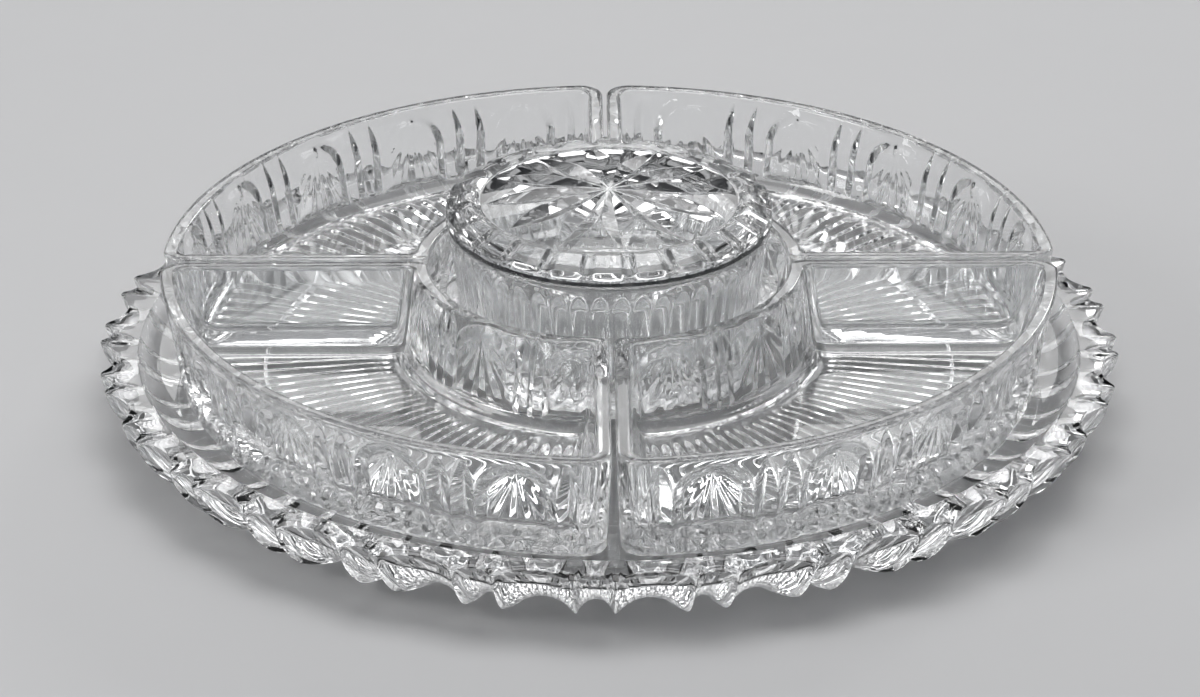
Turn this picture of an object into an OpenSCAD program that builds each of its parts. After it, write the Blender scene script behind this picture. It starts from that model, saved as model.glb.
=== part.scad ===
// Cut-glass relish set: a scalloped tray, four quarter dishes and a lidded bowl in the middle.
// The origin is the centre of the tray's resting plane. +Z is up and the front of the set faces -Y.

/* [Tray] */
// Height of the hollow under the tray, inside its foot
tray_foot_h = 6; // [3:0.5:9]
// Thickness of the glass that the dishes stand on
tray_floor_t = 9; // [7:0.5:12]
// Width of the ring that the tray stands on, inside the fluted edge
tray_foot_w = 14; // [8:1:25]
// Height of the rim above the floor inside
tray_rim_rise = 7; // [5:0.5:9]
// Radius of the cove between the floor and the rim
tray_cove_r = 10; // [9.5:0.5:14]
// Width of the rim, from the cove to the tips of the teeth
tray_rim_w = 13; // [12:0.5:16]
// Lean of the outer wall from upright, at the rim
tray_lean = 10; // [6:1:14]
// Room between the dishes' feet and the tray's cove
tray_clear = 3.5; // [2:0.5:8]
// Pairs of flutes round the edge
flute_pairs = 28; // [24:1:30]
// Depth of the wide flutes at the rim
wide_flute_d = 6.5; // [5:0.25:7]
// Depth of the narrow flutes at the rim
narrow_flute_d = 5; // [4:0.25:5.5]
// Share of a pair's room that the narrow flute takes
narrow_share = 0.345; // [0.32:0.005:0.36]
// Width of the blunt crest between two flutes, at the rim
crest_w = 1.2; // [0.8:0.1:2]
// Turn of the tray under the dishes
tray_turn = -2.2; // [-6:0.1:6]

/* [Dishes] */
// Radius of the four dishes over their rims
dish_rim_r = 145; // [130:1:160]
// Height of a dish
dish_h = 35.5; // [32:0.5:45]
// How far the outer wall leans in at the foot
dish_draft = 6; // [3:0.5:9]
// How far the curved inner wall leans out at the foot
inner_draft = 3; // [1:0.5:5]
// How far each straight side wall leans in at the foot
side_draft = 1.3; // [0.5:0.1:3]
// Gap between two dishes at their rims
dish_gap = 1.2; // [0.8:0.1:3]
// Thickness of the walls at the rim
dish_rim_t = 5; // [4:0.25:6]
// Thickness of the walls at the foot
dish_foot_t = 6.5; // [5:0.25:8]
// Thickness of the floor
dish_floor_t = 6.5; // [5:0.25:8]
// Radius of the cove round the floor inside
dish_cove_r = 5; // [3:0.5:7]
// Plan radius of the outer corners
outer_corner_r = 8; // [5:0.5:12]
// Plan radius of the inner corners, beside the bowl
inner_corner_r = 3.5; // [2.5:0.5:6]
// Plan radius of the corners of the hollow
hollow_corner_r = 4; // [3:0.5:7]
// Rounding of the rim and of the foot's edge
dish_round = 1.2; // [0.6:0.1:1.8]
// Pressed panels along the outer wall of a dish
wall_panels = 5; // [4:1:7]
// Depth of the pressed flutes in the outer wall
wall_flute_d = 1.4; // [0.6:0.1:2.2]
// Height of the plain band under the pressed panels
wall_band_h = 10; // [7:0.5:13]
// Height of the plain band above the pressed panels
wall_top_h = 4; // [2.5:0.5:6]

/* [Bowl] */
// Radius of the bowl at its rim
bowl_rim_r = 52; // [48:0.5:56]
// Height of the bowl
bowl_h = 49.5; // [46:0.5:58]
// How far the bowl's wall leans in at the foot
bowl_draft = 6.5; // [4:0.5:8]
// Thickness of the bowl's wall
bowl_wall_t = 5; // [4.5:0.25:6]
// Thickness of the bowl's floor
bowl_floor_t = 7; // [5:0.5:10]
// Radius of the hollow's rounded bottom edge
bowl_cove_r = 9; // [5:0.5:12]
// Room between the bowl and the dishes, at the rim
bowl_clear = 6; // [5:0.5:10]
// Flutes round the bowl
bowl_flutes = 48; // [36:1:52]
// Depth of a bowl flute
bowl_flute_d = 1.4; // [0.8:0.1:1.8]
// Width of the rib between two bowl flutes, at the foot
bowl_rib_w = 1.2; // [0.8:0.1:1.6]
// Height of the plain band between the flutes' tops and the bowl's rim
bowl_top_h = 5; // [3:0.5:10]

/* [Lid] */
// Overhang of the lid past the bowl's rim
lid_over = 0.4; // [0:0.1:1]
// Height of the lid's upright edge
lid_edge_h = 5.2; // [4.5:0.1:6]
// Width of the slope between the edge and the crest of the border
lid_slope_w = 7.4; // [6.5:0.1:8]
// Height of the border's crest above the bowl's rim
lid_crest_h = 8.9; // [8.5:0.1:10]
// Width of the smooth border inside the crest
lid_border_w = 3.5; // [3:0.25:4.5]
// Fall of the border from its crest to the star's field
lid_border_fall = 1.8; // [1.2:0.1:2.2]
// Rise of the domed field from the border to its middle
lid_dome_h = 3.7; // [2.6:0.1:5]
// Height of the ring under the lid that centres it in the bowl
lid_ring_h = 3; // [2:0.25:5]
// Width of that ring
lid_ring_w = 3; // [2.5:0.25:5]
// Room between that ring and the bowl
lid_clear = 0.6; // [0.4:0.1:1.2]
// Notches round the lid's crest and slope
lid_notches = 24; // [20:1:28]
// Depth of a notch
lid_notch_d = 1.5; // [0.8:0.1:1.6]
// Width of a notch
lid_notch_w = 4.5; // [3.5:0.25:5.5]
// Petals of the cut star
star_petals = 12; // [8:1:12]
// Depth of a petal at its middle
petal_d = 1.8; // [1.4:0.1:2.2]
// Width of a petal at its middle
petal_w = 8; // [5:0.25:8.25]
// Radius of the plain middle of the star
star_core_r = 4; // [4:0.5:8]
// Space between the petals' tips and the border
star_margin = 2; // [1:0.25:4]
// Turn of the star and the notches from the front
star_turn = 6.5; // [-15:0.5:15]

/* [Hidden] */
$fn = 96;
glass = [0.86, 0.91, 0.93];

// Reach of cutting tools past the face that they cut
past = 10;
// Steps along a rounded outer corner, a rounded inner corner and the curved inner wall
outer_steps = 6;
inner_steps = 4;
arc_steps = 14;
// Share of a wall panel from its middle to its side flute, and half that flute's width
flute_place = 0.37;
flute_half = 0.055;
// Height over which a wall flute fades out, at its foot and at its pointed top
flute_foot_fade = 2;
flute_top_fade = 6;
// Share of the cove that the middle ring of points stands off both faces
cove_mid = 0.29;
// Facets of a whole turn of the lid's shallow dome
dome_facets = 360;
// Reach of a petal's bed past its two tips, so that the tips keep a little depth
tip_spare = 2;

// Tray: heights, then radii from the dishes outwards
tray_floor_z = tray_foot_h + tray_floor_t;
tray_h = tray_floor_z + tray_rim_rise;
dish_foot_r = dish_rim_r - dish_draft;
tray_floor_r = dish_foot_r + tray_clear;
cove_run = sqrt(pow(tray_cove_r, 2) - pow(tray_cove_r - tray_rim_rise, 2));
tray_rim_r = tray_floor_r + cove_run;
tray_tip_r = tray_rim_r + tray_rim_w;
// The outer wall is one arc that starts level at the foot and leans by tray_lean at the rim
wall_arc_r = tray_h / (1 - sin(tray_lean));
wall_arc_x = tray_tip_r - wall_arc_r * cos(tray_lean);
// A flute's bed is a wider arc: it meets the rim at the flute's depth and fades out on the foot
bed_drop = 1;
bed_x = wall_arc_x - wall_arc_r / 2;
tray_foot_r = bed_x - tray_foot_w;

// Bed radius of a flute whose depth at the rim is d: the arc falls bed_drop below the foot at bed_x
function bed_r(d) =
    let (run = tray_tip_r - d - bed_x, rise = tray_h + bed_drop)
    (run * run + rise * rise) / (2 * rise);
// Radius of the round tool that cuts a groove of half-width w and depth d
function tool_r(w, d) = (w * w + d * d) / (2 * d);

pair_step = 360 / flute_pairs;
narrow_step = pair_step * narrow_share;
wide_step = pair_step - narrow_step;

dish_inner_r = bowl_rim_r + bowl_clear;
lid_z = tray_floor_z + bowl_h;
lid_r = bowl_rim_r + lid_over;
// The ring clears the bowl's leaning wall at its lower edge
lid_ring_r = bowl_rim_r - bowl_wall_t - bowl_draft * lid_ring_h / bowl_h - lid_clear;
bowl_foot_r = bowl_rim_r - bowl_draft;
// The lid's crest and the domed field inside its border
lid_crest_r = lid_r - lid_slope_w;
star_r = lid_crest_r - lid_border_w;
lid_field_h = lid_crest_h - lid_border_fall;
dome_r = tool_r(star_r, lid_dome_h);
function dome_h(r) = lid_field_h + lid_dome_h - dome_r + sqrt(pow(dome_r, 2) - pow(r, 2));

function polar(r, a) = r * [cos(a), sin(a)];
function arc(centre, r, from, to, steps) =
    [for (i = [0:steps]) centre + polar(r, from + (to - from) * i / steps)];

// Places along the outer wall, as shares of its length: each panel has two side flutes
flute_in = flute_place - flute_half;
flute_out = flute_place + flute_half;
panel_places = [-flute_out, -flute_place, -flute_in, -flute_in / 2, 0,
                flute_in / 2, flute_in, flute_place, flute_out];
wall_places = [for (k = [0:wall_panels - 1], s = panel_places)
    [(k + 0.5 + s) / wall_panels, abs(s) == flute_place]];

// Plan of a quarter dish between radii ri and ro, standing g off both axes, flutes sunk by depth
function dish_plan(ro, ri, g, corner_o, corner_i, depth) =
    let (
        ao = asin((g + corner_o) / (ro - corner_o)),
        ai = asin((g + corner_i) / (ri + corner_i)),
        co = ro - corner_o,
        ci = ri + corner_i,
        wall = [for (p = wall_places) polar(ro - (p[1] ? depth : 0), ao + p[0] * (90 - 2 * ao))]
    )
    concat(
        arc(polar(co, ao), corner_o, -90, ao, outer_steps),
        wall,
        arc(polar(co, 90 - ao), corner_o, 90 - ao, 180, outer_steps),
        arc(polar(ci, 90 - ai), corner_i, 180, 270 - ai, inner_steps),
        [for (i = [1:arc_steps - 1]) polar(ri, 90 - ai - (90 - 2 * ai) * i / arc_steps)],
        arc(polar(ci, ai), corner_i, 180 + ai, 270, inner_steps)
    );

// One ring of the dish's skin at height z, set in from the outside by inset
function dish_ring(z, inset, depth, hollow = false) =
    let (
        up = z / dish_h,
        ro = dish_foot_r + dish_draft * up - inset,
        ri = dish_inner_r + inner_draft * (1 - up) + inset,
        g = dish_gap / 2 + side_draft * (1 - up) + inset,
        corner_o = hollow ? hollow_corner_r : outer_corner_r - inset,
        corner_i = hollow ? hollow_corner_r : inner_corner_r - inset
    )
    [for (p = dish_plan(ro, ri, g, corner_o, corner_i, depth)) [p[0], p[1], z]];

function wall_at(z) = dish_foot_t + (dish_rim_t - dish_foot_t) * z / dish_h;

// Skin through rings of equal length, from the underside up the outside and down into the hollow
module skin(rings) {
    n = len(rings[0]);
    last = len(rings) - 1;
    sides = [for (i = [0:last - 1], j = [0:n - 1])
        let (a = i * n + j, b = i * n + (j + 1) % n, c = b + n, d = a + n)
        each [[a, d, c], [a, c, b]]];
    under = [[for (j = [0:n - 1]) j]];
    floor_face = [[for (j = [n - 1:-1:0]) last * n + j]];
    polyhedron(points = [for (r = rings) each r], faces = concat(sides, under, floor_face));
}

// A torus segment in the upright plane through the axis, from straight down round to level outwards
module upright_bed(path_r, tool) {
    rotate([90, 0, 0])
        rotate([0, 0, -90])
            rotate_extrude(angle = 90)
                translate([path_r, 0])
                    circle(tool);
}

module tray_flute(turn, depth, step) {
    half = tray_tip_r * sin(step / 2) - crest_w / 2;
    tool = tool_r(half, depth);
    bed = bed_r(depth);
    rotate([0, 0, turn])
        translate([bed_x, 0, bed - bed_drop])
            upright_bed(bed + tool, tool);
}

module tray_half_section() {
    difference() {
        union() {
            square([wall_arc_x, tray_h]);
            intersection() {
                translate([wall_arc_x, wall_arc_r])
                    circle(wall_arc_r);
                translate([wall_arc_x - past, 0])
                    square([wall_arc_r + 2 * past, tray_h]);
            }
        }
        translate([0, tray_floor_z])
            square([tray_floor_r, tray_rim_rise + past]);
        translate([tray_floor_r, tray_floor_z + tray_cove_r])
            circle(tray_cove_r);
        translate([0, -past])
            square([tray_foot_r, tray_foot_h + past]);
    }
}

module tray() {
    color(glass)
        rotate([0, 0, tray_turn - 90])
            difference() {
                rotate_extrude()
                    tray_half_section();
                for (k = [0:flute_pairs - 1]) {
                    tray_flute(k * pair_step, narrow_flute_d, narrow_step);
                    tray_flute((k + 0.5) * pair_step, wide_flute_d, wide_step);
                }
            }
}

module dish(turn) {
    hollow_z = dish_floor_t + dish_cove_r;
    mid = dish_cove_r * cove_mid;
    panel_top = dish_h - wall_top_h;
    color(glass)
        translate([0, 0, tray_floor_z])
            rotate([0, 0, turn])
                skin([
                    dish_ring(0, dish_round, 0),
                    dish_ring(dish_round, 0, 0),
                    dish_ring(wall_band_h, 0, 0),
                    dish_ring(wall_band_h + flute_foot_fade, 0, wall_flute_d),
                    dish_ring(panel_top - flute_top_fade, 0, wall_flute_d),
                    dish_ring(panel_top, 0, 0),
                    dish_ring(dish_h - dish_round, 0, 0),
                    dish_ring(dish_h, dish_round, 0),
                    dish_ring(dish_h, dish_rim_t - dish_round, 0, true),
                    dish_ring(dish_h - dish_round, dish_rim_t, 0, true),
                    dish_ring(hollow_z, wall_at(hollow_z), 0, true),
                    dish_ring(dish_floor_t + mid, wall_at(dish_floor_t) + mid, 0, true),
                    dish_ring(dish_floor_t, wall_at(dish_floor_t) + dish_cove_r, 0, true)
                ]);
}

module dish_back_right() {
    dish(0);
}

module dish_back_left() {
    dish(90);
}

module dish_front_left() {
    dish(180);
}

module dish_front_right() {
    dish(270);
}

// A round-nosed cut along the bowl's wall, open at the foot and arched at the top
module bowl_flute(turn) {
    half = bowl_foot_r * sin(180 / bowl_flutes) - bowl_rib_w / 2;
    tool = tool_r(half, bowl_flute_d);
    lean = atan(bowl_draft / bowl_h);
    length = bowl_h - bowl_top_h - tool;
    rotate([0, 0, turn])
        translate([bowl_foot_r - bowl_flute_d + tool, 0, 0])
            rotate([0, lean, 0])
                rotate_extrude()
                    intersection() {
                        union() {
                            translate([0, -past])
                                square([tool, past + length]);
                            translate([0, length])
                                circle(tool);
                        }
                        translate([0, -past])
                            square([tool, bowl_h + 2 * past]);
                    }
}

module bowl_half_section() {
    inner_foot_r = bowl_foot_r - bowl_wall_t;
    inner_rim_r = bowl_rim_r - bowl_wall_t;
    difference() {
        polygon([[0, 0], [bowl_foot_r, 0], [bowl_rim_r, bowl_h], [0, bowl_h]]);
        difference() {
            polygon([[0, bowl_floor_t], [inner_foot_r, bowl_floor_t], [inner_rim_r, bowl_h],
                     [inner_rim_r, bowl_h + past], [0, bowl_h + past]]);
            difference() {
                translate([inner_foot_r - bowl_cove_r, bowl_floor_t - past])
                    square([bowl_cove_r + past, bowl_cove_r + past]);
                translate([inner_foot_r - bowl_cove_r, bowl_floor_t + bowl_cove_r])
                    circle(bowl_cove_r);
            }
        }
    }
}

module bowl() {
    color(glass)
        translate([0, 0, tray_floor_z])
            difference() {
                rotate_extrude()
                    bowl_half_section();
                for (k = [0:bowl_flutes - 1])
                    bowl_flute((k + 0.5) * 360 / bowl_flutes);
            }
}

// A petal is lens-shaped in plan, and its bed is part of a wide drum, so it is deepest at its middle.
// It lies on the slope that the dome has under its middle.
module petal(turn) {
    from_r = star_core_r;
    to_r = star_r - star_margin;
    mid_r = (from_r + to_r) / 2;
    half_length = (to_r - from_r) / 2;
    side_r = tool_r(half_length, petal_w / 2);
    dome_fall = dome_r - sqrt(pow(dome_r, 2) - pow(half_length, 2));
    drum_r = tool_r(half_length + tip_spare, petal_d - dome_fall);
    rotate([0, 0, turn])
        translate([mid_r, 0, dome_h(mid_r)])
            rotate([0, asin(mid_r / dome_r), 0])
                intersection() {
                    translate([0, 0, -2 * petal_d])
                        linear_extrude(4 * petal_d)
                            intersection_for (side = [-1, 1])
                                translate([0, side * (side_r - petal_w / 2)])
                                    circle(side_r);
                    translate([0, 0, drum_r - petal_d])
                        rotate([90, 0, 0])
                            cylinder(r = drum_r, h = 2 * petal_w, center = true);
                }
}

// A round groove along the slope, from the crest down over the upright edge
module lid_notch(turn) {
    tool = tool_r(lid_notch_w / 2, lid_notch_d);
    fall = lid_crest_h - lid_edge_h;
    length = sqrt(pow(lid_slope_w, 2) + pow(fall, 2)) + 2 * past;
    rotate([0, 0, turn])
        translate([lid_crest_r + lid_slope_w / 2, 0, lid_edge_h + fall / 2])
            rotate([0, atan(fall / lid_slope_w), 0])
                translate([0, 0, tool - lid_notch_d])
                    rotate([0, 90, 0])
                        cylinder(r = tool, h = length, center = true);
}

module lid_half_section() {
    polygon([[0, 0], [lid_r, 0], [lid_r, lid_edge_h], [lid_crest_r, lid_crest_h],
             [star_r, lid_field_h], [0, lid_field_h]]);
    intersection() {
        translate([0, lid_field_h + lid_dome_h - dome_r])
            circle(dome_r, $fn = dome_facets);
        translate([0, lid_field_h])
            square([star_r, lid_dome_h]);
    }
    translate([lid_ring_r - lid_ring_w, -lid_ring_h])
        square([lid_ring_w, lid_ring_h]);
}

module lid() {
    notch_step = 360 / lid_notches;
    color(glass)
        translate([0, 0, lid_z])
            rotate([0, 0, star_turn - 90])
                difference() {
                    rotate([0, 0, notch_step / 2])
                        rotate_extrude()
                            lid_half_section();
                    for (k = [0:star_petals - 1])
                        petal(k * 360 / star_petals);
                    for (k = [0:lid_notches - 1])
                        lid_notch(k * notch_step);
                }
}

tray();
dish_front_left();
dish_front_right();
dish_back_right();
dish_back_left();
bowl();
lid();
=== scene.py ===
"""Looks of a pressed-glass relish set: a fluted tray, four quarter dishes, a bowl and its lid.

Every piece is a grid surface worked out with numpy in millimetres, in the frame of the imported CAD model.
A round piece runs from the middle of its underside, up the outside, over the rim and into the hollow.
A dish is a stack of closed rings up the outside and down the hollow, with a sheet across each end.
"""

import math

import bpy
import numpy as np
from mathutils import Matrix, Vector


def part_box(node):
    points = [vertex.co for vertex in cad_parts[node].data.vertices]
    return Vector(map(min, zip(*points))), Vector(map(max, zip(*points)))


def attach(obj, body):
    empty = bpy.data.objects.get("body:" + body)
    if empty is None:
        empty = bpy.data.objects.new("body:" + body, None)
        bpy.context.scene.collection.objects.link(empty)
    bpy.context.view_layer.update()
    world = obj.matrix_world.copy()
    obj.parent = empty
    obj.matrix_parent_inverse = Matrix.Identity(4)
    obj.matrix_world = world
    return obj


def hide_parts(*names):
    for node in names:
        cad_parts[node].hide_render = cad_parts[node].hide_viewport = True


bl_info = {
    "name": "Relish set in pressed glass",
    "version": (1, 0, 0),
    "blender": (4, 5, 0),
    "location": "View3D > Sidebar > Relish",
    "description": "Builds a fluted tray, quarter dishes and a lidded bowl in clear glass",
    "category": "Add Mesh",
}

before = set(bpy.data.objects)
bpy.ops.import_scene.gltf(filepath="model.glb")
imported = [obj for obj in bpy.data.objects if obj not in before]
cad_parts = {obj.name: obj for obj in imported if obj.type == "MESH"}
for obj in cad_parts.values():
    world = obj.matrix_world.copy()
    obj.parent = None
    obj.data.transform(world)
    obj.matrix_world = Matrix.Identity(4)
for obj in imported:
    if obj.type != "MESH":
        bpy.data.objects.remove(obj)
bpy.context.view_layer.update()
TRAY_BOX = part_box("tray")
DISH_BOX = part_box("dish_back_right")
BOWL_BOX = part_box("bowl")
LID_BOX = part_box("lid")

MM = 0.001
FULL_TURN = 2.0 * math.pi
QUARTER_TURN = math.pi / 2
# Edges that bend by more than this stay sharp.
SHARP_BEND = math.radians(48)
# Millimetres between glass and the glass it stands on, so that no two faces lie in one plane.
STAND_OFF = 0.15
# Degrees from the modelled dish to each of the four.
DISH_TURNS = {"dish_back_right": 0, "dish_back_left": 90, "dish_front_left": 180, "dish_front_right": 270}
# Name, place, point faced, size and watts of each lamp, in metres.
LAMPS = (
    ("overhead box", (0.1, 0.25, 1.5), (0.0, 0.0, 0.0), (1.4, 1.0), 13.0),
    ("left box", (-1.4, -0.5, 0.9), (0.0, 0.0, 0.03), (0.5, 0.7), 7.0),
    ("back box", (0.1, 2.0, 1.05), (0.0, 0.0, 0.03), (1.9, 0.4), 5.0),
    ("back right box", (0.8, 1.5, 0.95), (0.0, 0.0, 0.03), (0.3, 0.3), 3.0),
)
NO_TRIANGLES = np.zeros((0, 3), int)


def length(name, words, default):
    """A size in metres with a name and a description."""
    return bpy.props.FloatProperty(
        name=name, description=words, default=default, unit="LENGTH", precision=5)


def angle(name, words, degrees):
    """An angle, kept in radians, with its default given in degrees."""
    return bpy.props.FloatProperty(
        name=name, description=words, default=math.radians(degrees), subtype="ANGLE")


def count(name, words, default):
    """A whole number of repeats."""
    return bpy.props.IntProperty(name=name, description=words, default=default, min=1)


def colour(name, words, default):
    """A linear colour."""
    return bpy.props.FloatVectorProperty(
        name=name, description=words, default=default, subtype="COLOR", size=3)


class TraySizes(bpy.types.PropertyGroup):
    tip_r: length("Tip radius", "Radius over the tips of the rim's teeth", TRAY_BOX[1].x)
    height: length("Height", "Height of the rim", TRAY_BOX[1].z)
    floor_z: length("Floor height", "Height of the floor that the dishes stand on", DISH_BOX[0].z)
    floor_r: length("Floor radius", "Radius of the flat floor", 0.1425)
    cove_r: length("Cove radius", "Radius of the cove between floor and rim", 0.010)
    foot_h: length("Foot height", "Height of the hollow under the tray", 0.006)
    foot_r: length("Foot radius", "Radius of the hollow under the tray", 0.1115)
    lean: angle("Lean", "Lean of the outer wall at the rim", 10)
    pairs: count("Flute pairs", "Pairs of a narrow and a wide flute round the edge", 28)
    narrow_share: bpy.props.FloatProperty(
        name="Narrow share", description="Share of a pair that its narrow flute takes",
        default=0.345, subtype="FACTOR")
    narrow_d: length("Narrow depth", "Depth of a narrow flute at the rim", 0.0034)
    wide_d: length("Wide depth", "Depth of a wide flute at the rim", 0.0051)
    belly: length("Belly", "How much deeper the flutes run at the foot than at the rim", 0.0016)
    crest_w: length("Crest width", "Width of the blunt crest between flutes", 0.0016)
    turn: angle("Turn", "Turn of the tray under the dishes", -2.2)


class DishSizes(bpy.types.PropertyGroup):
    rim_r: length("Rim radius", "Radius of the four dishes over their rims", DISH_BOX[1].x)
    height: length("Height", "Height of a dish", DISH_BOX[1].z - DISH_BOX[0].z)
    draft: length("Draft", "How far the outer wall leans in at the foot", 0.006)
    inner_r: length("Inner radius", "Radius of the curved wall beside the bowl", 0.058)
    inner_draft: length("Inner draft", "How far that wall leans out at the foot", 0.003)
    half_gap: length("Half gap", "Half the gap between two rims", 0.0006)
    side_draft: length("Side draft", "How far a straight wall leans in at the foot", 0.0013)
    rim_t: length("Rim wall", "Thickness of the walls at the rim", 0.005)
    foot_t: length("Foot wall", "Thickness of the walls at the foot", 0.0065)
    floor_t: length("Floor", "Thickness of the floor", 0.0065)
    cove_r: length("Cove", "Radius of the cove round the floor", 0.005)
    edge_r: length("Edge", "Rounding of the rim and of the foot", 0.0012)
    outer_corner: length("Outer corner", "Radius of the upright corners at the outer wall", 0.008)
    inner_corner: length("Inner corner", "Radius of the upright corners beside the bowl", 0.0035)
    hollow_corner: length("Hollow corner", "Radius of the hollow's upright corners", 0.004)
    panels: count("Fans", "Pressed fans along the outer wall", 5)
    outer_span: angle("Outer span", "Turn that the fans of the outer wall take up", 82.8)
    flute_at: length("Flute place", "Distance from a fan's middle to a flute", 0.0166)
    inner_span: angle("Inner span", "Turn that the pressed wall beside the bowl takes up", 80)
    inner_first: angle("First inner fan", "Turn from the X axis to the first fan beside the bowl", 18)
    inner_step: angle("Inner fan step", "Turn from one fan beside the bowl to the next", 31.3)
    inner_flute_at: length("Inner flute place", "Distance from an inner fan's middle to a flute", 0.0142)
    relief: length("Relief", "Depth of the pressed fans and flutes", 0.0025)
    rays: count("Rays", "Rays under the floor", 32)
    ray_d: length("Ray depth", "Depth of the rays under the floor", 0.0014)


class BowlSizes(bpy.types.PropertyGroup):
    rim_r: length("Rim radius", "Radius of the bowl at its rim", BOWL_BOX[1].x)
    height: length("Height", "Height of the bowl", BOWL_BOX[1].z - BOWL_BOX[0].z)
    draft: length("Draft", "How far the wall leans in at the foot", 0.0065)
    wall_t: length("Wall", "Thickness of the wall", 0.005)
    floor_t: length("Floor", "Thickness of the floor", 0.007)
    cove_r: length("Cove", "Radius of the hollow's rounded bottom edge", 0.009)
    edge_r: length("Edge", "Rounding of the rim and of the foot", 0.001)
    flutes: count("Flutes", "Arched flutes round the bowl", 48)
    flute_d: length("Flute depth", "Depth of a flute", 0.0014)


class LidSizes(bpy.types.PropertyGroup):
    edge_r: length("Radius", "Radius of the lid", LID_BOX[1].x)
    height: length("Height", "Height of the domed field's middle", LID_BOX[1].z - BOWL_BOX[1].z)
    edge_h: length("Edge height", "Height of the upright edge", 0.0052)
    slope_w: length("Slope width", "Width of the notched slope above the edge", 0.0074)
    crest_h: length("Crest height", "Height of the border's crest", 0.0089)
    border_w: length("Border width", "Width of the smooth border inside the crest", 0.0035)
    field_h: length("Field height", "Height of the domed field where it meets the border", 0.0071)
    ring_h: length("Ring height", "Height of the centring ring", BOWL_BOX[1].z - LID_BOX[0].z)
    ring_r: length("Ring radius", "Outer radius of the centring ring", 0.046)
    ring_w: length("Ring width", "Width of the centring ring", 0.003)
    notches: count("Notches", "Notches round the crest and the slope", 24)
    notch_d: length("Notch depth", "Depth of a notch", 0.0015)
    notch_w: length("Notch width", "Width of a notch", 0.0045)
    petals: count("Petals", "Petals of the star", 12)
    petal_d: length("Petal depth", "Depth of a petal where it is widest", 0.0016)
    petal_w: length("Petal width", "Width of a petal where it is widest", 0.010)
    turn: angle("Turn", "Turn of the star and the notches from the front", 6.5)


class GlassLook(bpy.types.PropertyGroup):
    clear: colour("Clear", "Colour of the clearest glass", (1.0, 1.0, 1.0))
    tinted: colour("Tinted", "Colour of the faintly tinted streaks", (0.985, 0.993, 0.997))
    ior: bpy.props.FloatProperty(name="IOR", description="Refractive index of the glass", default=1.54)


class StageLook(bpy.types.PropertyGroup):
    floor: colour("Floor", "Colour of the floor", (0.60, 0.60, 0.605))
    eye: bpy.props.FloatVectorProperty(
        name="Camera", description="Place of the camera", default=(-0.0181, -1.5138, 0.752),
        subtype="XYZ", unit="LENGTH")
    pitch: angle("Pitch", "How far the camera looks down", 25.853)
    yaw: angle("Yaw", "How far the camera looks to the right", 0.576)
    lens: bpy.props.FloatProperty(name="Lens", description="Focal length in millimetres", default=155.3)


GROUPS = {
    "tray": TraySizes,
    "dish": DishSizes,
    "bowl": BowlSizes,
    "lid": LidSizes,
    "glass": GlassLook,
    "stage": StageLook,
}


def sizes_of(group):
    """The group's lengths in millimetres and its other numbers as they are, by name."""
    held = getattr(bpy.context.scene, "relish_" + group)
    found = {}
    for key, prop in held.bl_rna.properties.items():
        if prop.type in {"FLOAT", "INT"} and not getattr(prop, "is_array", False):
            value = getattr(held, key)
            found[key] = value / MM if prop.unit == "LENGTH" else value
    return found


def ease(x):
    """0 below 0, 1 above 1, and a smooth step between."""
    t = np.clip(x, 0.0, 1.0)
    return t * t * (3.0 - 2.0 * t)


def soft_min(a, b, blend):
    """The smaller of a and b, rounded over about blend where they cross."""
    gap = np.clip(0.5 + 0.5 * (b - a) / blend, 0.0, 1.0)
    return b + (a - b) * gap - blend * gap * (1.0 - gap)


def off_centre(turns):
    """Distance of each number from the nearest whole number, doubled: 0 on it and 1 half way."""
    return 2.0 * np.abs(turns - np.round(turns))


def tool_r(half, depth):
    """Radius of the circle whose cap is 2 half wide and depth deep."""
    return (half * half + depth * depth) / (2.0 * depth)


def dome(reach, base_r, base_z, rise):
    """Height, at a distance from the axis, of a ball cap that stands on a circle and rises to its middle."""
    ball_r = tool_r(base_r, rise)
    return base_z + rise - ball_r + np.sqrt(ball_r ** 2 - reach ** 2)


def quarter(steps):
    """Angles of a quarter turn in that many steps, both ends included."""
    return np.linspace(0.0, QUARTER_TURN, steps + 1)


def joined(*stretches):
    """Stretches of a profile, each a pair of arrays (radius or inset, height), end to end as two arrays."""
    first = np.concatenate([np.atleast_1d(np.asarray(s[0], float)) for s in stretches])
    second = np.concatenate([np.atleast_1d(np.asarray(s[1], float)) for s in stretches])
    return first, second


def soft_edges(top, thick, soft):
    """Insets and heights of a wall's rounded foot, and of the outer and inner half of its rounded rim."""
    bend = quarter(4)
    foot = (soft * (1.0 - np.sin(bend)), soft * (1.0 - np.cos(bend)))
    rim_out = (soft * (1.0 - np.cos(bend)), top - soft + soft * np.sin(bend))
    rim_in = (thick - soft + soft * np.sin(bend), top - soft + soft * np.cos(bend))
    return foot, rim_out, rim_in


def cove(thick, floor_t, cove_r):
    """Insets and heights of the round corner between the inside of a wall and the floor."""
    bend = quarter(7)
    return thick + cove_r * (1.0 - np.cos(bend)), floor_t + cove_r * (1.0 - np.sin(bend))


def strip_quads(index):
    """Quads of a grid of vertex numbers that closes on itself along its second direction."""
    here, there = index[:-1], index[1:]
    ahead, above = np.roll(here, -1, 1), np.roll(there, -1, 1)
    return np.stack([here, ahead, above, there], -1).reshape(-1, 4)


def sheet_quads(index):
    """Quads of a grid of vertex numbers with four open borders."""
    low, high = index[:, :-1], index[:, 1:]
    return np.stack([low[:-1], low[1:], high[1:], high[:-1]], -1).reshape(-1, 4)


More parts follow.
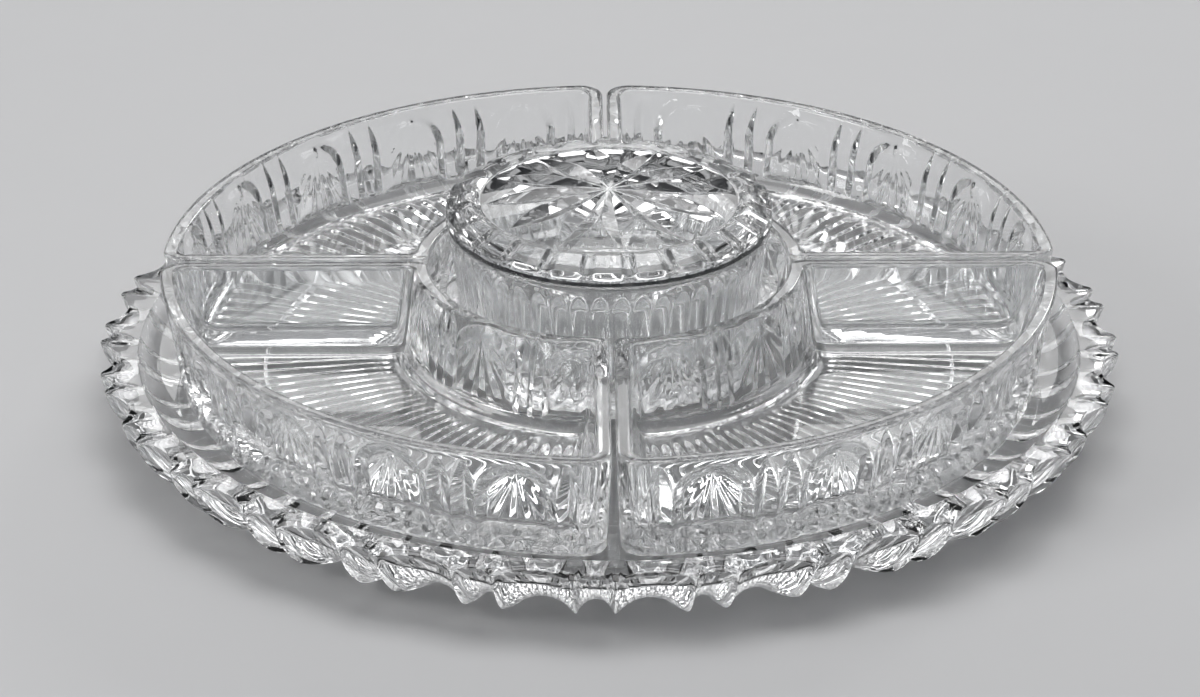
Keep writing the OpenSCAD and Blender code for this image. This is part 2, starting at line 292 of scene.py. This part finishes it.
def add_mesh(name, points_mm, quads, triangles=NO_TRIANGLES):
    """Mesh object at the origin from whole arrays of points and faces, smooth but for its sharp edges."""
    corners = np.concatenate([quads.ravel(), triangles.ravel()]).astype(np.int32)
    sizes = np.concatenate([np.full(len(quads), 4), np.full(len(triangles), 3)])
    mesh = bpy.data.meshes.new(name)
    mesh.vertices.add(len(points_mm))
    mesh.vertices.foreach_set("co", (points_mm * MM).astype(np.float32).ravel())
    mesh.loops.add(len(corners))
    mesh.loops.foreach_set("vertex_index", corners)
    mesh.polygons.add(len(sizes))
    mesh.polygons.foreach_set("loop_start", (np.cumsum(sizes) - sizes).astype(np.int32))
    mesh.update(calc_edges=True)
    if mesh.validate():
        raise RuntimeError(name + " has broken faces")
    mesh.shade_smooth()
    mesh.set_sharp_from_angle(angle=SHARP_BEND)
    piece = bpy.data.objects.new(name, mesh)
    bpy.context.scene.collection.objects.link(piece)
    return piece


def round_piece(name, radius, height, angles):
    """Closed round surface: row k, column j stands at radius[k, j], angle angles[j] and height[k, j].

    The first and last rows close on single points on the axis.
    """
    rows, columns = radius.shape
    points = np.stack([radius * np.cos(angles), radius * np.sin(angles), height], -1).reshape(-1, 3)
    poles = np.array([[0.0, 0.0, height[0].mean()], [0.0, 0.0, height[-1].mean()]])
    index = np.arange(rows * columns).reshape(rows, columns)
    low, high = rows * columns, rows * columns + 1
    first, last = index[0], index[-1]
    under = np.stack([np.full(columns, low), np.roll(first, -1), first], -1)
    over = np.stack([np.full(columns, high), last, np.roll(last, -1)], -1)
    ends = np.concatenate([under, over])
    return add_mesh(name, np.concatenate([points, poles]), strip_quads(index), ends)


def hand_over(piece, node, material):
    """The piece stands for a CAD node: it rides on that node's body and takes the given material, and the
    node is hidden.
    """
    piece.data.materials.append(material)
    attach(piece, node)
    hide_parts(node)


def link(tree, start, out, end, into):
    """Joins one socket to another."""
    tree.links.new(start.outputs[out], end.inputs[into])


def clear_glass(name, streak, seed):
    """Clear pressed glass: faint streaks of tint, and a polished skin with uneven gloss and slight waves."""
    look = bpy.context.scene.relish_glass
    material = bpy.data.materials.new(name)
    material.use_nodes = True
    tree = material.node_tree
    shader = tree.nodes["Principled BSDF"]
    shader.inputs["IOR"].default_value = look.ior
    shader.inputs["Transmission Weight"].default_value = 1.0
    place = tree.nodes.new("ShaderNodeTexCoord")
    shift = tree.nodes.new("ShaderNodeMapping")
    shift.inputs["Location"].default_value = (seed, seed * 0.7, seed * 0.3)
    link(tree, place, "Object", shift, "Vector")
    streaks = tree.nodes.new("ShaderNodeTexNoise")
    streaks.inputs["Scale"].default_value = streak
    streaks.inputs["Detail"].default_value = 3.0
    link(tree, shift, "Vector", streaks, "Vector")
    tint = tree.nodes.new("ShaderNodeMix")
    tint.data_type = "RGBA"
    tint.inputs["A"].default_value = (*look.clear, 1.0)
    tint.inputs["B"].default_value = (*look.tinted, 1.0)
    link(tree, streaks, "Fac", tint, "Factor")
    link(tree, tint, "Result", shader, "Base Color")
    gloss = tree.nodes.new("ShaderNodeMapRange")
    gloss.inputs["From Min"].default_value = 0.35
    gloss.inputs["From Max"].default_value = 0.75
    gloss.inputs["To Min"].default_value = 0.0
    gloss.inputs["To Max"].default_value = 0.03
    link(tree, streaks, "Fac", gloss, "Value")
    link(tree, gloss, "Result", shader, "Roughness")
    waves = tree.nodes.new("ShaderNodeTexNoise")
    waves.inputs["Scale"].default_value = 90.0
    waves.inputs["Detail"].default_value = 1.0
    link(tree, shift, "Vector", waves, "Vector")
    skin = tree.nodes.new("ShaderNodeBump")
    skin.inputs["Strength"].default_value = 0.1
    skin.inputs["Distance"].default_value = 0.0003
    link(tree, waves, "Fac", skin, "Height")
    link(tree, skin, "Normal", shader, "Normal")
    return material


def tray_wall(height, angles, t):
    """Radius of the tray's outer wall at each height (rows) and angle (columns).

    The crests follow one arc that starts level at the foot and leans by t["lean"] at the rim.
    A flute is the mark of a ring tool in the upright plane. Its bed is a wider arc that bottoms out a little
    under the foot. Its section is a circle, so at the sideways distance w the bed's radius grows by
    tool - sqrt(tool^2 - w^2). Towards the foot the bed sinks by a share of t["belly"].
    """
    under_foot, clear_of_wall, crest_blend = 1.0, 9.0, 0.7
    z = height[:, None]
    arc_r = t["height"] / (1.0 - math.sin(t["lean"]))
    arc_x = t["tip_r"] - arc_r * math.cos(t["lean"])
    wall = arc_x + np.sqrt(np.maximum(arc_r ** 2 - (arc_r - z) ** 2, 0.0))
    wall = np.broadcast_to(wall, (len(height), len(angles)))
    bed_x = arc_x - arc_r / 2.0
    step = FULL_TURN / t["pairs"]
    narrow = step * t["narrow_share"]
    for depth, width, middle in ((t["narrow_d"], narrow, 0.0), (t["wide_d"], step - narrow, 0.5)):
        bed = tool_r(t["tip_r"] - depth - bed_x, t["height"] + under_foot)
        tool = tool_r(t["tip_r"] * math.sin(width / 2.0) - t["crest_w"] / 2.0, depth)
        turns = angles / step - middle
        sideways = t["tip_r"] * np.sin(step * (turns - np.round(turns)))
        grown = bed + tool - np.sqrt(np.maximum(tool ** 2 - sideways ** 2, 0.0))
        drop = bed - under_foot - z
        cut = bed_x + np.sqrt(np.maximum(grown ** 2 - drop ** 2, 0.0))
        cut = cut - t["belly"] * (1.0 - z / t["height"])
        cut = np.where(np.abs(sideways) < tool, cut, wall + clear_of_wall)
        wall = soft_min(wall, cut, crest_blend)
    return wall


class RELISH_OT_tray(bpy.types.Operator):
    """Build the fluted tray"""

    bl_idname = "relish.tray"
    bl_label = "Tray"

    def execute(self, context):
        t = sizes_of("tray")
        angles = self.grid_angles(t)
        columns = np.ones(len(angles))
        under_r, under_z = self.underneath(t)
        wall_z = t["height"] * np.linspace(0.0, 1.0, 30)[:-1] ** 1.5
        rim = tray_wall(np.array([t["height"]]), angles, t)
        rim_in, rim_drop = np.array([0.15, 0.75]), np.array([0.45, 0.0])
        inner_r, inner_z = self.inside(t)
        radius = np.concatenate([
            np.outer(under_r, columns), tray_wall(wall_z, angles, t),
            rim - rim_in[:, None], np.outer(inner_r, columns)])
        height = np.concatenate([under_z, wall_z, t["height"] - rim_drop, inner_z])
        turned = angles + t["turn"] - QUARTER_TURN
        piece = round_piece("tray_glass", radius, np.outer(height, columns), turned)
        hand_over(piece, "tray", clear_glass("tray glass", streak=14.0, seed=0.0))
        return {"FINISHED"}

    @staticmethod
    def grid_angles(t):
        """Angles of the grid's columns, with as many across each flute of a kind."""
        step = FULL_TURN / t["pairs"]
        crest = step * t["narrow_share"] / 2.0
        narrow = np.linspace(-crest, crest, 18, endpoint=False)
        wide = np.linspace(crest, step - crest, 34, endpoint=False)
        one_pair = np.concatenate([narrow, wide])
        return (one_pair + step * np.arange(t["pairs"])[:, None]).ravel()

    @staticmethod
    def underneath(t):
        """Radii and heights of the hollow under the tray and of its rounded edges, outwards to the foot."""
        hollow_r = np.array([20.0, 60.0, 100.0])
        corner_in, corner_drop = np.array([1.5, 0.4, 0.0]), np.array([0.0, 0.1, 0.5])
        foot_out, foot_z = np.array([0.0, 0.4, 1.0]), np.array([0.5, 0.1, 0.0])
        return joined(
            (hollow_r, 0.0 * hollow_r + t["foot_h"]),
            (t["foot_r"] - corner_in, t["foot_h"] - corner_drop),
            (t["foot_r"] + foot_out, foot_z))

    @staticmethod
    def inside(t):
        """Radii and heights of the rim's rounded inner edge, of the cove and of the floor, inwards."""
        rise = t["height"] - t["floor_z"]
        bend = np.linspace(math.acos(1.0 - rise / t["cove_r"]), 0.0, 12)
        cove_r = t["floor_r"] + t["cove_r"] * np.sin(bend)
        cove_z = t["floor_z"] + t["cove_r"] * (1.0 - np.cos(bend))
        lip_out, lip_drop = np.array([0.8, 0.25, 0.0]), np.array([0.0, 0.1, 0.35])
        floor_r = np.array([120.0, 80.0, 40.0, 15.0])
        return joined(
            (cove_r[0] + lip_out, t["height"] - lip_drop),
            (cove_r[1:], cove_z[1:]),
            (floor_r, 0.0 * floor_r + t["floor_z"]))


def wall_panel(along, up, flute_at, d):
    """Depth of the pressing at a distance along the wall from a fan's middle and a height up the wall.

    A fan fills an arched panel: its sides slope in to a sunken floor, where V-shaped rays spread from a bead
    near the top and deepen as they go. On either side, flute_at away, stands a V-shaped flute under a
    pointed arch.
    """
    low = 6.5
    fan_half, shoulder, fan_top, side_w = 12.8, 20.0, 32.5, 3.6
    bead_z, bead_r = 29.0, 1.6
    ray_step, ray_run = math.radians(18.0), 16.0
    flute_half, flute_top, point_h, foot_h = 3.9, 33.0, 12.0, 2.0
    sunk_share, ray_share, bead_share = 0.95, 0.25, 0.2
    arch = np.hypot(along / fan_half, np.maximum(up - shoulder, 0.0) / (fan_top - shoulder))
    room = np.minimum(up - low, (1.0 - arch) * fan_half)
    sunk = np.clip(room / side_w, 0.0, 1.0)
    reach = np.hypot(along, bead_z - up)
    across = off_centre(np.arctan2(along, bead_z - up) / ray_step)
    rays = (1.0 - across) * np.clip(reach / ray_run, 0.0, 1.0) * sunk
    bead = np.clip(1.0 - (reach / bead_r) ** 2, 0.0, 1.0)
    fan = sunk_share * sunk + ray_share * rays + bead_share * bead
    to_point = np.clip((flute_top - up) / point_h, 0.0, 1.0)
    foot = np.sqrt(np.clip((up - low) / foot_h, 0.0, 1.0))
    width = flute_half * (1.0 - (1.0 - to_point) ** 2) * foot
    flute = np.clip(width - np.abs(np.abs(along) - flute_at), 0.0, None) / flute_half
    return d["relief"] * np.maximum(fan, flute)


def dish_loop(share, ro, ri, g, corner_o, corner_i, sunk_o, sunk_i):
    """Plan of one ring of a quarter dish, counter-clockwise, as an array of points.

    It runs out along the straight wall by the X axis, round the outer wall of radius ro, in along the
    straight wall by the Y axis and back along the inner wall of radius ri. The straight walls lie g from the
    axes, and the curved ones are sunk by sunk_o and sunk_i. Corners are arcs; share holds the steps of each
    stretch.
    """
    ao = math.asin((g + corner_o) / (ro - corner_o))
    ai = math.asin((g + corner_i) / (ri + corner_i))
    out_c = (ro - corner_o) * np.array([math.cos(ao), math.sin(ao)])
    in_c = (ri + corner_i) * np.array([math.cos(ai), math.sin(ai)])
    half_o = (ao - QUARTER_TURN) / 2.0
    half_i = (math.pi + ai + 1.5 * math.pi) / 2.0

    def bow(centre, radius, start, stop):
        turn = np.linspace(start, stop, share["corner"] + 1)[:-1]
        return centre + radius * np.stack([np.cos(turn), np.sin(turn)], -1)

    line = np.linspace(0.0, 1.0, share["line"] + 1)[:-1, None]
    side = np.array([in_c[0], g]) * (1.0 - line) + np.array([out_c[0], g]) * line
    # A stretch leaves out its last point, so the way back starts one step further on.
    other = side[::-1, ::-1] + (side[1] - side[0])[::-1]
    part = np.linspace(0.0, 1.0, share["wall"] + 1)[:-1]
    wall_turn = ao + (QUARTER_TURN - 2.0 * ao) * part
    wall = (ro - sunk_o[:-1, None]) * np.stack([np.cos(wall_turn), np.sin(wall_turn)], -1)
    back_turn = QUARTER_TURN - ai - (QUARTER_TURN - 2.0 * ai) * part
    back = (ri + sunk_i[:-1, None]) * np.stack([np.cos(back_turn), np.sin(back_turn)], -1)
    return np.concatenate([
        bow(in_c, corner_i, half_i, 1.5 * math.pi), side,
        bow(out_c, corner_o, -QUARTER_TURN, half_o), bow(out_c, corner_o, half_o, ao), wall,
        bow(out_c[::-1], corner_o, QUARTER_TURN - ao, QUARTER_TURN - half_o),
        bow(out_c[::-1], corner_o, QUARTER_TURN - half_o, math.pi), other,
        bow(in_c[::-1], corner_i, math.pi, 2.5 * math.pi - half_i),
        bow(in_c[::-1], corner_i, 2.5 * math.pi - half_i, 1.5 * math.pi - ai), back,
        bow(in_c, corner_i, math.pi + ai, half_i)])


def coons(low, high, left, right):
    """Grid that fills four border curves: the two ruled sheets added, less the sheet of the corners."""
    a = np.linspace(0.0, 1.0, len(low))[:, None, None]
    b = np.linspace(0.0, 1.0, len(left))[None, :, None]
    ruled = (1.0 - b) * low[:, None] + b * high[:, None] + (1.0 - a) * left[None] + a * right[None]
    corners = (1.0 - a) * ((1.0 - b) * low[0] + b * high[0]) + a * ((1.0 - b) * low[-1] + b * high[-1])
    return ruled - corners


def end_sheet(loop, number, share, made):
    """Grid of points that fills one ring of a dish, and the grid of their vertex numbers.

    The ring's four walls are the borders and keep their numbers; the points inside count on from made.
    """
    short = 2 * share["corner"] + share["line"]
    long = 2 * share["corner"] + share["wall"]
    left = np.arange(0, short + 1)
    high = np.arange(short, short + long + 1)
    right = np.arange(short + long, 2 * short + long + 1)[::-1]
    low = np.arange(2 * short + long, len(loop) + 1)[::-1] % len(loop)
    names = np.zeros((long + 1, short + 1), int)
    names[:, 0], names[:, -1] = number[low], number[high]
    names[0], names[-1] = number[left], number[right]
    names[1:-1, 1:-1] = made + np.arange((long - 1) * (short - 1)).reshape(long - 1, short - 1)
    return coons(loop[low], loop[high], loop[left], loop[right]), names


def dish_rings(d):
    """Insets and heights of the dish's rings, from the foot up the outside and down to the floor inside.

    The third array tells which rings belong to the hollow.
    """
    soft, top = d["edge_r"], d["height"]
    foot, rim_out, rim_in = soft_edges(top, d["rim_t"], soft)
    wall = np.linspace(soft, top - soft, 32)[1:-1]
    inside = np.linspace(top - soft, d["floor_t"] + d["cove_r"], 7)[1:-1]
    lean = d["foot_t"] - d["rim_t"]
    thick = d["rim_t"] + lean * (1.0 - inside / top)
    thick_low = d["rim_t"] + lean * (1.0 - d["floor_t"] / top)
    inset, height = joined(
        foot, (0.0 * wall, wall), rim_out, rim_in, (thick, inside),
        cove(thick_low, d["floor_t"], d["cove_r"]))
    hollow = np.arange(len(inset)) >= len(foot[0]) + len(wall) + len(rim_out[0])
    return inset, height, hollow


def underside(sheet, d):
    """Height of the rays pressed into the underside: each is a V-shaped groove that fades at both ends."""
    ray_start, ray_end, side_clear, fade = 74.0, 131.0, 5.0, 4.0
    x, y = sheet[..., 0], sheet[..., 1]
    reach = np.hypot(x, y)
    across = off_centre(np.arctan2(y, x) / QUARTER_TURN * d["rays"] - 0.5)
    beside = np.minimum(x, y) - side_clear
    room = np.minimum(np.minimum(reach - ray_start, ray_end - reach), beside)
    return d["ray_d"] * (1.0 - across) * ease(room / fade)


def dish_shape(d):
    """Points and quads of the dish by the X and Y axes, standing on height 0."""
    share = {"corner": 5, "line": 20, "wall": 500}
    along = np.linspace(0.0, 1.0, share["wall"] + 1)
    plain = 0.0 * along
    panel = along * d["panels"] - 0.5
    from_fan = (panel - np.round(panel)) * d["outer_span"] / d["panels"]
    inner_turn = QUARTER_TURN / 2.0 + d["inner_span"] * (0.5 - along)
    inner_panel = (inner_turn - d["inner_first"]) / d["inner_step"]
    from_inner_fan = (inner_panel - np.round(inner_panel)) * d["inner_step"]
    loops = []
    for shift, z, inner in zip(*dish_rings(d)):
        fall = 1.0 - z / d["height"]
        ro = d["rim_r"] - d["draft"] * fall
        ri = d["inner_r"] + d["inner_draft"] * fall
        g = d["half_gap"] + d["side_draft"] * fall + shift
        if inner:
            corner_o = corner_i = d["hollow_corner"]
            sunk_o = sunk_i = plain
        else:
            corner_o = d["outer_corner"] - shift
            corner_i = d["inner_corner"] - shift
            sunk_o = wall_panel(from_fan * ro, z + plain, d["flute_at"], d)
            sunk_i = wall_panel(from_inner_fan * ri, z + plain, d["inner_flute_at"], d)
        plan = dish_loop(share, ro - shift, ri + shift, g, corner_o, corner_i, sunk_o, sunk_i)
        loops.append(np.concatenate([plan, np.full((len(plan), 1), z)], 1))
    rings = np.stack(loops)
    rows, columns = rings.shape[:2]
    index = np.arange(rows * columns).reshape(rows, columns)
    under, under_names = end_sheet(rings[0], index[0], share, index.size)
    under[..., 2] += underside(under, d)
    under_points = under[1:-1, 1:-1].reshape(-1, 3)
    over, over_names = end_sheet(rings[-1], index[-1], share, index.size + len(under_points))
    over_points = over[1:-1, 1:-1].reshape(-1, 3)
    points = np.concatenate([rings.reshape(-1, 3), under_points, over_points])
    quads = np.concatenate([strip_quads(index), sheet_quads(under_names), sheet_quads(over_names)[:, ::-1]])
    return points, quads


class RELISH_OT_dishes(bpy.types.Operator):
    """Build the four quarter dishes"""

    bl_idname = "relish.dishes"
    bl_label = "Quarter dishes"

    def execute(self, context):
        d = sizes_of("dish")
        points, quads = dish_shape(d)
        z = DISH_BOX[0].z / MM + STAND_OFF + points[:, 2] * (1.0 - STAND_OFF / d["height"])
        material = clear_glass("dish glass", streak=18.0, seed=3.0)
        for node, degrees in DISH_TURNS.items():
            turn = math.radians(degrees)
            x = points[:, 0] * math.cos(turn) - points[:, 1] * math.sin(turn)
            y = points[:, 0] * math.sin(turn) + points[:, 1] * math.cos(turn)
            piece = add_mesh(node + "_glass", np.stack([x, y, z], -1), quads)
            hand_over(piece, node, material)
        return {"FINISHED"}


def faded_ends(up, low, low_run, top, top_run):
    """1 along a flute from low to top, falling to 0 over a run at each end."""
    return np.clip((top - up) / top_run, 0.0, 1.0) * np.clip((up - low) / low_run, 0.0, 1.0)


class RELISH_OT_bowl(bpy.types.Operator):
    """Build the bowl with its arched flutes"""

    bl_idname = "relish.bowl"
    bl_label = "Bowl"

    def execute(self, context):
        b = sizes_of("bowl")
        angles = np.linspace(0.0, FULL_TURN, b["flutes"] * 16, endpoint=False)
        soft, top = b["edge_r"], b["height"]
        foot_r = b["rim_r"] - b["draft"]
        under_inset = np.array([foot_r - 12.0, 12.0, 3.0])
        floor_inset = foot_r - 10.0
        foot, rim_out, rim_in = soft_edges(top, b["wall_t"], soft)
        wall_z = np.linspace(soft, top - soft, 44)[1:-1]
        inner_z = np.linspace(top - soft, b["floor_t"] + b["cove_r"], 8)[1:-1]
        inset, height = joined(
            (under_inset, 0.0 * under_inset), foot, (0.0 * wall_z, wall_z), rim_out, rim_in,
            (0.0 * inner_z + b["wall_t"], inner_z), cove(b["wall_t"], b["floor_t"], b["cove_r"]),
            (floor_inset, b["floor_t"]))
        radius = foot_r + b["draft"] * height / top - inset
        outside = np.arange(len(inset)) < len(under_inset) + len(foot[0]) + len(wall_z)
        sunk = np.where(outside[:, None], self.pressing(height[:, None], angles[None], b), 0.0)
        lift = BOWL_BOX[0].z / MM + STAND_OFF + height * (1.0 - 2.0 * STAND_OFF / top)
        columns = np.ones(len(angles))
        piece = round_piece("bowl_glass", radius[:, None] - sunk, np.outer(lift, columns), angles)
        hand_over(piece, "bowl", clear_glass("bowl glass", streak=18.0, seed=7.0))
        return {"FINISHED"}

    @staticmethod
    def pressing(up, turn, b):
        """Depth of the flutes, arched at both ends, and of the shallower row of short ones under them."""
        half, short_share = 0.85, 0.7
        place = turn / FULL_TURN * b["flutes"]
        tall_ends = faded_ends(up, low=11.0, low_run=3.0, top=b["height"] - 4.5, top_run=4.0)
        tall = np.clip(tall_ends - (off_centre(place - 0.5) / half) ** 2, 0.0, 1.0)
        short_ends = faded_ends(up, low=1.2, low_run=2.0, top=10.0, top_run=3.0)
        short = np.clip(short_ends - (off_centre(place) / half) ** 2, 0.0, 1.0)
        return b["flute_d"] * np.maximum(tall, short_share * short)


class RELISH_OT_lid(bpy.types.Operator):
    """Build the domed lid with its cut star"""

    bl_idname = "relish.lid"
    bl_label = "Lid"

    def execute(self, context):
        s = sizes_of("lid")
        angles = np.linspace(0.0, FULL_TURN, s["notches"] * 30, endpoint=False)
        from_front = angles + QUARTER_TURN - s["turn"]
        crest_r = s["edge_r"] - s["slope_w"]
        star_r = crest_r - s["border_w"]
        radius, height, on_field = self.profile(crest_r, star_r, s)
        low, low_fade, inner_fade = s["edge_h"] / 2.0, 2.0, 2.5
        on_rim = (height > low) & (radius > star_r)
        fade = ease((height - low) / low_fade) * ease(1.0 + (radius - crest_r) / inner_fade)
        notch = np.outer(fade * on_rim, self.notches(from_front, crest_r, s))
        fall = s["crest_h"] - s["edge_h"]
        slope = math.hypot(s["slope_w"], fall)
        star = self.star(radius[:, None], from_front[None], star_r, s) * on_field[:, None]
        lift = BOWL_BOX[1].z / MM + height[:, None] - star - notch * s["slope_w"] / slope
        piece = round_piece("lid_glass", radius[:, None] - notch * fall / slope, lift, angles)
        hand_over(piece, "lid", clear_glass("lid glass", streak=22.0, seed=11.0))
        return {"FINISHED"}

    @staticmethod
    def profile(crest_r, star_r, s):
        """Radii and heights of the rows, and which of them lie on the domed field.

        They run from the middle of the flat underside round the centring ring, up the edge, over the
        border's crest, which is the softened lower one of two slopes, and up the dome to its middle.
        """
        root, tip, edge_foot, edge_top = 0.3, 0.4, 0.6, 0.4
        crease, crest_blend = 0.15, 1.4
        edge_r, ring_r, ring_z = s["edge_r"], s["ring_r"], -s["ring_h"]
        ring_in = ring_r - s["ring_w"]
        edge_z = np.linspace(edge_foot, s["edge_h"] - edge_top, 6)
        border_r = np.linspace(edge_r - 0.1, star_r + crease, 38)
        field_r = np.linspace(star_r - crease, 0.6, 90)
        rising = s["edge_h"] + (s["crest_h"] - s["edge_h"]) * (edge_r - border_r) / s["slope_w"]
        falling = s["crest_h"] - (s["crest_h"] - s["field_h"]) * (crest_r - border_r) / s["border_w"]
        radius, height = joined(
            ([10.0, ring_in - root, ring_in], [0.0, 0.0, -root]),
            ([ring_in, ring_in + tip, ring_r - tip, ring_r], [ring_z + tip, ring_z, ring_z, ring_z + tip]),
            ([ring_r, ring_r + root], [-root, 0.0]),
            ([edge_r - edge_foot, edge_r - edge_foot / 3.0], [0.0, edge_foot / 3.0]),
            (0.0 * edge_z + edge_r, edge_z),
            (border_r, soft_min(rising, falling, crest_blend)),
            (field_r, dome(field_r, star_r, s["field_h"], s["height"] - s["field_h"])))
        on_field = np.arange(len(radius)) >= len(radius) - len(field_r)
        return radius, height, on_field

    @staticmethod
    def star(reach, turn, star_r, s):
        """Depth of the star's petals, which are V-shaped cuts with sides of one slope, pointed at both ends.

        They swell and taper as the sine of a stretched share of their length.
        """
        core_r, margin, stretch = 1.0, 2.0, 1.25
        step = FULL_TURN / s["petals"]
        aside = turn - step * np.round(turn / step)
        along = np.clip((reach * np.cos(aside) - core_r) / (star_r - core_r - margin), 0.0, 1.0)
        swell = np.sin(math.pi * along ** stretch)
        across = np.abs(reach * np.sin(aside)) / (s["petal_w"] / 2.0)
        return s["petal_d"] * np.clip(swell - across, 0.0, 1.0)

    @staticmethod
    def notches(turn, crest_r, s):
        """Depth of the round notches in the crest, and of the lobes' slight fall towards them."""
        lobe_share = 0.3
        pitch = FULL_TURN * crest_r / s["notches"]
        aside = off_centre(turn / FULL_TURN * s["notches"])
        groove = np.clip(1.0 - (aside * pitch / s["notch_w"]) ** 2, 0.0, 1.0)
        return s["notch_d"] * np.maximum(groove, lobe_share * (1.0 - aside) ** 2)


def floor_material():
    """Pale matt floor with a faint mottle."""
    look = bpy.context.scene.relish_stage
    darker = 0.985
    material = bpy.data.materials.new("pale floor")
    material.use_nodes = True
    tree = material.node_tree
    shader = tree.nodes["Principled BSDF"]
    shader.inputs["Roughness"].default_value = 0.7
    shader.inputs["Specular IOR Level"].default_value = 0.2
    place = tree.nodes.new("ShaderNodeTexCoord")
    mottle = tree.nodes.new("ShaderNodeTexNoise")
    mottle.inputs["Scale"].default_value = 30.0
    link(tree, place, "Object", mottle, "Vector")
    tone = tree.nodes.new("ShaderNodeMix")
    tone.data_type = "RGBA"
    tone.inputs["A"].default_value = (*[c * darker for c in look.floor], 1.0)
    tone.inputs["B"].default_value = (*look.floor, 1.0)
    link(tree, mottle, "Fac", tone, "Factor")
    link(tree, tone, "Result", shader, "Base Color")
    return material


def add_floor():
    """Flat floor just under the tray's foot."""
    half, side_points, drop = 4.0, 9, 0.0003
    line = np.linspace(-half, half, side_points)
    x, y = np.meshgrid(line, line, indexing="ij")
    points = np.stack([x, y, 0.0 * x - drop], -1).reshape(-1, 3) / MM
    index = np.arange(side_points ** 2).reshape(side_points, side_points)
    floor = add_mesh("floor", points, sheet_quads(index))
    floor.data.materials.append(floor_material())


def turned(side, up, back):
    """Matrix whose X, Y and Z axes point to the side, up and back."""
    return Matrix(np.column_stack([side, up, back]).tolist()).to_4x4()


def soft_box(name, place, aim, size, watts):
    """Rectangular lamp at a place, facing a point."""
    lamp = bpy.data.lights.new(name, "AREA")
    lamp.shape = "RECTANGLE"
    lamp.size, lamp.size_y = size
    lamp.energy = watts
    holder = bpy.data.objects.new(name, lamp)
    towards = np.subtract(aim, place)
    back = -towards / np.linalg.norm(towards)
    side = np.cross((0.0, 0.0, 1.0), back)
    side = side / np.linalg.norm(side)
    holder.matrix_world = turned(side, np.cross(back, side), back)
    holder.location = place
    bpy.context.scene.collection.objects.link(holder)


def studio_sky():
    """Soft surround: dim near the horizon and brighter overhead, so that cut edges show light and dark."""
    world = bpy.data.worlds.new("studio")
    world.use_nodes = True
    tree = world.node_tree
    place = tree.nodes.new("ShaderNodeTexCoord")
    split = tree.nodes.new("ShaderNodeSeparateXYZ")
    link(tree, place, "Generated", split, "Vector")
    ramp = tree.nodes.new("ShaderNodeValToRGB")
    dim, bright = ramp.color_ramp.elements
    dim.position = 0.2
    dim.color = (0.012, 0.013, 0.015, 1.0)
    bright.position = 0.9
    bright.color = (0.4, 0.405, 0.415, 1.0)
    link(tree, split, "Z", ramp, "Fac")
    link(tree, ramp, "Color", tree.nodes["Background"], "Color")
    bpy.context.scene.world = world


def add_camera(look):
    """Scene camera at its place, turned by its pitch and yaw."""
    lens = bpy.data.cameras.new("camera")
    lens.lens = look.lens
    lens.sensor_width = 36.0
    camera = bpy.data.objects.new("camera", lens)
    bpy.context.scene.collection.objects.link(camera)
    level = np.array([math.sin(look.yaw), math.cos(look.yaw), 0.0])
    ahead = level * math.cos(look.pitch) - np.array([0.0, 0.0, math.sin(look.pitch)])
    side = np.array([math.cos(look.yaw), -math.sin(look.yaw), 0.0])
    camera.matrix_world = turned(side, np.cross(side, ahead), -ahead)
    camera.location = look.eye
    bpy.context.scene.camera = camera


class RELISH_OT_stage(bpy.types.Operator):
    """Set the floor, the light and the camera"""

    bl_idname = "relish.stage"
    bl_label = "Stage"

    def execute(self, context):
        add_floor()
        studio_sky()
        for lamp in LAMPS:
            soft_box(*lamp)
        add_camera(context.scene.relish_stage)
        context.scene.view_settings.view_transform = "Standard"
        context.scene.cycles.max_bounces = 40
        context.scene.cycles.transmission_bounces = 40
        context.scene.cycles.glossy_bounces = 12
        return {"FINISHED"}


class RELISH_PT_panel(bpy.types.Panel):
    """Lists the pieces and their sizes"""

    bl_idname = "RELISH_PT_panel"
    bl_label = "Relish set"
    bl_space_type = "VIEW_3D"
    bl_region_type = "UI"
    bl_category = "Relish"

    def draw(self, context):
        for operator in OPERATORS:
            self.layout.operator(operator.bl_idname)
        for group in GROUPS:
            held = getattr(context.scene, "relish_" + group)
            box = self.layout.box()
            box.label(text=group.capitalize())
            for key in held.__annotations__:
                box.prop(held, key)


OPERATORS = (RELISH_OT_tray, RELISH_OT_dishes, RELISH_OT_bowl, RELISH_OT_lid, RELISH_OT_stage)


def register():
    for cls in (*GROUPS.values(), *OPERATORS, RELISH_PT_panel):
        bpy.utils.register_class(cls)
    for group, cls in GROUPS.items():
        setattr(bpy.types.Scene, "relish_" + group, bpy.props.PointerProperty(type=cls))


def unregister():
    for group in GROUPS:
        delattr(bpy.types.Scene, "relish_" + group)
    for cls in reversed((*GROUPS.values(), *OPERATORS, RELISH_PT_panel)):
        bpy.utils.unregister_class(cls)


def main():
    register()
    bpy.ops.relish.tray()
    bpy.ops.relish.dishes()
    bpy.ops.relish.bowl()
    bpy.ops.relish.lid()
    bpy.ops.relish.stage()


if __name__ == "__main__":
    main()
